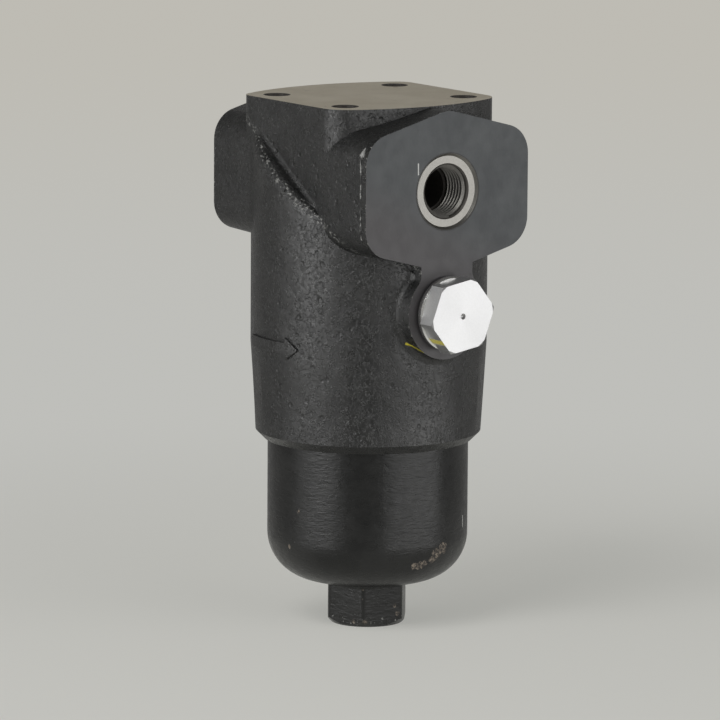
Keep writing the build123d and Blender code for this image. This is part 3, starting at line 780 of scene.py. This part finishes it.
portMajor = mounts["port_out"]["dims"]["r_mm"] * mm
for side, turnY in (("Out", 90), ("In", -90)):
    ridge = threadRidge(
        "portThread" + side, portMajor, threadPlan["portMinor"], threadPlan["portPitch"],
        faceX - threadPlan["portEnd"], faceX - threadPlan["portMouth"],
    )
    ridge.rotation_euler = (0, math.radians(turnY), 0)
    ridge.location = (0, 0, portZ)
    settle(ridge)
    coat(ridge, finishes["threadIron"])
    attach(ridge, "head")

boltMajor = bolts["hole_r_mm"] * mm
for number, place in enumerate(boltPlaces):
    ridge = threadRidge(
        f"boltThread{number + 1}", boltMajor, threadPlan["boltMinor"], threadPlan["boltPitch"],
        topZ - threadPlan["boltEnd"], topZ - threadPlan["boltMouth"],
    )
    ridge.location = (place.x, place.y, 0)
    settle(ridge)
    coat(ridge, finishes["boredIron"])
    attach(ridge, "head")
print("threads cut")


# Cast arrow that shows the way of the oil, on the side of the head

arrowPlan = {
    "shaftStart": -16.5, "shaftEnd": 7.8, "tip": 14.0,
    "middle": 115.7, "shaftHalf": 2.4, "headHalf": 4.8, "tipHalf": 0.35,
    "height": 0.95, "sunk": 0.35, "bevel": 0.3, "segments": 3,
    "columns": 44, "rows": 8, "startY": -60, "smoothAngle": 50,
}


def arrowHalf(x):
    if x < arrowPlan["shaftEnd"]:
        return arrowPlan["shaftHalf"]
    share = (x - arrowPlan["shaftEnd"]) / (arrowPlan["tip"] - arrowPlan["shaftEnd"])
    return arrowPlan["headHalf"] + share * (arrowPlan["tipHalf"] - arrowPlan["headHalf"])


def flatGrid(name, columns, rows):
    bpy.ops.object.select_all(action="DESELECT")
    bpy.ops.mesh.primitive_grid_add(x_subdivisions=columns, y_subdivisions=rows, size=1)
    grid = bpy.context.active_object
    grid.name = name
    return grid


def makeArrow():
    arrow = flatGrid("flowArrow", arrowPlan["columns"], arrowPlan["rows"])
    length = arrowPlan["tip"] - arrowPlan["shaftStart"]
    for point in arrow.data.vertices:
        x = arrowPlan["shaftStart"] + (point.co.x + 0.5) * length
        z = arrowPlan["middle"] + 2 * point.co.y * arrowHalf(x)
        point.co = (x * mm, arrowPlan["startY"] * mm, z * mm)
    applyModifier(
        arrow, "SHRINKWRAP", target=headCopy, wrap_method="PROJECT",
        use_project_x=False, use_project_y=True, use_project_z=False,
        use_positive_direction=True, use_negative_direction=True, offset=-arrowPlan["sunk"] * mm,
    )
    full = (arrowPlan["height"] + arrowPlan["sunk"]) * mm
    applyModifier(arrow, "SOLIDIFY", thickness=full, offset=1.0)
    closeUp(arrow)
    applyModifier(
        arrow, "BEVEL", width=arrowPlan["bevel"] * mm, segments=arrowPlan["segments"],
        limit_method="ANGLE", angle_limit=0.7,
    )
    bpy.ops.object.shade_smooth_by_angle(angle=math.radians(arrowPlan["smoothAngle"]))
    return arrow


flashPlan = {
    "x": 48.1, "low": -19.5, "high": 19.6, "radius": 0.3, "sunk": 0.05,
    "knob": 1.5, "knobReach": 2.2, "knobBelow": 2.2,
    "waves": ((0.3, 11.0, 0.0), (0.25, 37.0, 1.0)),     # share of the radius, rate along the bead, start
    "tip": 0.25, "tipGrowth": 9,
    "around": 8, "along": 60, "startY": -80, "smoothAngle": 60,
}


def makeFlash():
    # a thin bead of flash left along the mould's parting line, behind the outlet's face
    bead = flatGrid("castingFlash", flashPlan["around"], flashPlan["along"])
    length = flashPlan["high"] - flashPlan["low"]
    for point in bead.data.vertices:
        share = point.co.y + 0.5
        angle = 2 * math.pi * (point.co.x + 0.5)
        z = portZ + (flashPlan["low"] + share * length) * mm
        start = Vector((flashPlan["x"] * mm, flashPlan["startY"] * mm, z))
        place, normal = headCopy.ray_cast(start, Vector((0, 1, 0)))[1:3]
        wave = sum(size * math.sin(rate * share + first) for size, rate, first in flashPlan["waves"])
        knob = math.exp(-(((1 - share) * length - flashPlan["knobBelow"]) / flashPlan["knobReach"]) ** 2)
        radius = flashPlan["radius"] * (1 + wave) + (flashPlan["knob"] - flashPlan["radius"]) * knob
        radius *= min(1.0, flashPlan["tip"] + flashPlan["tipGrowth"] * min(share, 1 - share))
        side = Vector((math.cos(angle), math.sin(angle), 0))
        point.co = place + (side * radius + normal * -flashPlan["sunk"]) * mm
    closeUp(bead)
    bpy.ops.object.shade_smooth_by_angle(angle=math.radians(flashPlan["smoothAngle"]))
    return bead


flash = makeFlash()
coat(flash, finishes["flashPaint"])
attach(flash, "head")
print("flash bead laid")

arrow = makeArrow()
coat(arrow, finishes["castPaint"])
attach(arrow, "head")
print("arrow raised")


# Bowl and plug, with their male threads

bowlPlan = {
    "thread": 40.0, "root": 39.2, "pitch": 2.0, "low": 80.6, "high": 100.0,
    "sharpAngle": 32, "bareFrom": 2, "inside": 33, "insideFloor": 25,
}
plugPlan = {
    "thread": 9.92, "root": 9.1, "pitch": 1.5, "low": 2.4, "high": 11.4,
    "sharpAngle": 25, "faceDepth": 2, "flats": 15.7, "flatsDepth": 7.4,
}
nearThread = 0.05 * mm


def onBowlAxis(point):
    return Vector((0, 0, point.z))


def onPlugAxis(point):
    return Vector((point.x, 0, plugZ))


def turnDown(piece, onAxis, plan, onShank):
    # the plain band under a thread goes in to the thread's root
    for point in piece.data.vertices:
        centre = onAxis(point.co)
        spoke = point.co - centre
        if onShank(point.co) and abs(spoke.length - plan["thread"] * mm) < nearThread:
            point.co = centre + spoke * (plan["root"] * mm / spoke.length)


def bareBowl(point, normal):
    above = point.z > lipZ + bowlPlan["bareFrom"] * mm
    within = math.hypot(point.x, point.y) < bowlPlan["inside"] * mm
    return above or (within and point.z > bowlPlan["insideFloor"] * mm)


bowlCopy = dressedCopy("bowl", "bowlBody", bowlPlan["sharpAngle"])
bowlCopy.data.materials.append(finishes["bowlPaint"])
coatWhere(bowlCopy, finishes["turnedSteel"], bareBowl)
turnDown(bowlCopy, onBowlAxis, bowlPlan, lambda point: point.z > lipZ)
bowlThread = threadRidge(
    "bowlThread", bowlPlan["root"] * mm, bowlPlan["thread"] * mm, bowlPlan["pitch"] * mm,
    bowlPlan["low"] * mm, bowlPlan["high"] * mm,
)
coat(bowlThread, finishes["turnedSteel"])
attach(bowlThread, frame["nodes"]["bowl"]["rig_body"])

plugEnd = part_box("indicator_plug")[1].x


def plugFront(point, normal):
    return normal.x > 0.75 and point.x > plugEnd - plugPlan["faceDepth"] * mm


def plugSides(point, normal):
    onHex = math.hypot(point.y, point.z - plugZ) < plugPlan["flats"] * mm
    return abs(normal.x) < 0.2 and onHex and plugEnd - plugPlan["flatsDepth"] * mm < point.x


plugCopy = dressedCopy("indicator_plug", "indicatorPlug", plugPlan["sharpAngle"])
plugCopy.data.materials.append(finishes["brightPlate"])
coatWhere(plugCopy, finishes["plugFace"], plugFront)
coatWhere(plugCopy, finishes["hexFlats"], plugSides)
turnDown(plugCopy, onPlugAxis, plugPlan, lambda point: point.x < faceX)
plugThread = threadRidge(
    "plugThread", plugPlan["root"] * mm, plugPlan["thread"] * mm, plugPlan["pitch"] * mm,
    faceX - plugPlan["high"] * mm, faceX - plugPlan["low"] * mm,
)
plugThread.rotation_euler = (0, math.radians(90), 0)
plugThread.location = (0, 0, plugZ)
settle(plugThread)
coat(plugThread, finishes["brightPlate"])
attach(plugThread, frame["nodes"]["indicator_plug"]["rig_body"])
print("bowl and plug dressed")


# Inner pieces keep their solids

innerFinish = {
    "bowl_oring": "sealRubber",
    "bowl_backup_ring": "backupPlastic",
    "outlet_spigot": "turnedSteel",
    "spigot_oring": "sealRubber",
    "element_top_cap": "platedSheet",
    "element_oring": "sealRubber",
    "element_core": "platedSheet",
    "element_pleats": "filterPaper",
    "element_sleeve": "platedSheet",
    "element_bottom_cap": "platedSheet",
    "bypass_cage": "platedSheet",
    "cage_ring": "springSteel",
    "bypass_poppet": "turnedSteel",
    "bypass_seal": "sealRubber",
    "support_spring": "springSteel",
    "spring_seat": "platedSheet",
    "plug_seal": "sealRubber",
}
for nodeName, finishName in innerFinish.items():
    coat(frame["nodes"][nodeName], finishes[finishName])

# the bypass spring, which shortens as its valve lifts with its upper end in the cage, gets a merged copy
# with a mesh of its own
wireAngle = 40
springCopy = dressedCopy("bypass_spring", "bypassCoil", wireAngle)
coat(springCopy, finishes["springSteel"])
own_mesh(springCopy)
print("inner pieces finished")


# Stage, light and camera

stagePlan = {
    "floorRadius": 14.0,
    "floorTone": (0.44, 0.43, 0.41),
    "backTone": (0.515, 0.50, 0.455),
    "frontTone": (0.52, 0.52, 0.495),
    "nearGlow": (0.30, 0.303, 0.284),
    "plainFrom": (0.10, 0.50),
    "backFrom": (0.5, 2.2),
    "clearFrom": (0.12, 0.26),
    "edges": 96,
    "roughness": 0.9,
    "specular": 0.1,
}


def floorFinish():
    # near the filter a glow is added to the lamps' light and shadow, further out the tone is even
    material = bpy.data.materials.new("studioFloor")
    material.use_nodes = True
    tree = material.node_tree
    shader = tree.nodes["Principled BSDF"]
    shader.inputs["Base Color"].default_value = (*stagePlan["floorTone"], 1)
    shader.inputs["Roughness"].default_value = stagePlan["roughness"]
    shader.inputs["Specular IOR Level"].default_value = stagePlan["specular"]
    plain = tree.nodes.new("ShaderNodeEmission")
    place = tree.nodes.new("ShaderNodeTexCoord")
    away = farFrom(tree, place.outputs["Object"], (0, 0, 0))
    depth = fade(tree, away, *stagePlan["backFrom"])
    tone = between(tree, depth, stagePlan["frontTone"], stagePlan["backTone"])
    tree.links.new(tone, plain.inputs["Color"])
    path = tree.nodes.new("ShaderNodeLightPath")
    far = fade(tree, away, *stagePlan["plainFrom"])
    share = maths(tree, "MULTIPLY", far, path.outputs["Is Camera Ray"])
    glow = tree.nodes.new("ShaderNodeEmission")
    glow.inputs["Color"].default_value = (*stagePlan["nearGlow"], 1)
    lit = tree.nodes.new("ShaderNodeAddShader")
    tree.links.new(shader.outputs["BSDF"], lit.inputs[0])
    tree.links.new(glow.outputs["Emission"], lit.inputs[1])
    mix = tree.nodes.new("ShaderNodeMixShader")
    tree.links.new(share, mix.inputs["Fac"])
    tree.links.new(lit.outputs["Shader"], mix.inputs[1])
    tree.links.new(plain.outputs["Emission"], mix.inputs[2])
    # reflections and shadows look past the floor to the lamps, which reach below it
    clear = tree.nodes.new("ShaderNodeBsdfTransparent")
    outer = tree.nodes.new("ShaderNodeMixShader")
    past = maths(tree, "MULTIPLY", path.outputs["Is Glossy Ray"], fade(tree, away, *stagePlan["clearFrom"]))
    past = maths(tree, "MAXIMUM", past, path.outputs["Is Shadow Ray"])
    tree.links.new(past, outer.inputs["Fac"])
    tree.links.new(mix.outputs["Shader"], outer.inputs[1])
    tree.links.new(clear.outputs["BSDF"], outer.inputs[2])
    tree.links.new(outer.outputs["Shader"], tree.nodes["Material Output"].inputs["Surface"])
    return material


bpy.ops.object.select_all(action="DESELECT")
bpy.ops.mesh.primitive_circle_add(
    vertices=stagePlan["edges"], radius=stagePlan["floorRadius"], fill_type="NGON",
)
floor = bpy.context.active_object
floor.name = "studioFloor"
coat(floor, floorFinish())

lampPlan = {
    # azimuth from +X towards +Y, elevation, distance, width, height, radiance
    "leftBox": (-97.0, 4.0, 1.7, 1.8, 1.6, 0.9),
    "leftUpper": (-91.0, 6.2, 1.6, 0.95, 0.8, 2.9),
    "rightBox": (18.5, 4.0, 1.7, 2.2, 1.6, 1.8),
    "keyBox": (-69.0, 45.0, 1.7, 0.75, 0.75, 4.5),
}
lampAim = Vector((0, 0, 0.11))
for name, (azimuth, elevation, distance, width, height, radiance) in lampPlan.items():
    lamp = bpy.data.lights.new(name, "AREA")
    lamp.shape = "RECTANGLE"
    lamp.size = width
    lamp.size_y = height
    lamp.energy = radiance * math.pi * width * height
    holder = bpy.data.objects.new(name, lamp)
    bpy.context.scene.collection.objects.link(holder)
    a, e = math.radians(azimuth), math.radians(elevation)
    away = Vector((math.cos(a) * math.cos(e), math.sin(a) * math.cos(e), math.sin(e)))
    holder.location = lampAim + away * distance
    holder.rotation_euler = away.to_track_quat("Z", "Y").to_euler()
    holder.visible_camera = False

worldPlan = {"tone": (1.0, 0.99, 0.96), "low": 0.27, "high": 0.11, "fade": (0.18, 0.55)}
world = bpy.data.worlds.new("studio")
bpy.context.scene.world = world
world.use_nodes = True
air = world.node_tree
sky = air.nodes["Background"]
sky.inputs["Color"].default_value = (*worldPlan["tone"], 1)
aloft = parts(air, air.nodes.new("ShaderNodeTexCoord").outputs["Generated"])[2]
strength = fade(air, aloft, *worldPlan["fade"], worldPlan["low"], worldPlan["high"])
plug(air, sky.inputs["Strength"], strength)

cameraPlan = {
    "aim": (0.0, 0.0, 0.107),
    "distance": 2.459,
    "azimuth": 53.69,     # from -Y towards +X
    "elevation": 9.35,
    "pan": 0.07,
    "roll": 0.38,
    "lens": 308.05,
    "sensor": 36.0,
    "shift": (-1.0 / 720, -3.1 / 720),
    "clip": (0.1, 60.0),
}
cameraData = bpy.data.cameras.new("camera")
cameraData.lens = cameraPlan["lens"]
cameraData.sensor_width = cameraPlan["sensor"]
cameraData.shift_x, cameraData.shift_y = cameraPlan["shift"]
cameraData.clip_start, cameraData.clip_end = cameraPlan["clip"]
camera = bpy.data.objects.new("camera", cameraData)
bpy.context.scene.collection.objects.link(camera)
a, e = math.radians(cameraPlan["azimuth"]), math.radians(cameraPlan["elevation"])
back = Vector((math.sin(a) * math.cos(e), -math.cos(a) * math.cos(e), math.sin(e)))
camera.location = Vector(cameraPlan["aim"]) + back * cameraPlan["distance"]
heading = Euler((math.pi / 2 - e, 0, a + math.radians(cameraPlan["pan"]))).to_matrix()
camera.rotation_euler = (heading @ Matrix.Rotation(math.radians(cameraPlan["roll"]), 3, "Z")).to_euler()
bpy.context.scene.camera = camera
bpy.context.scene.view_settings.view_transform = "Standard"
print("stage, light and camera set")
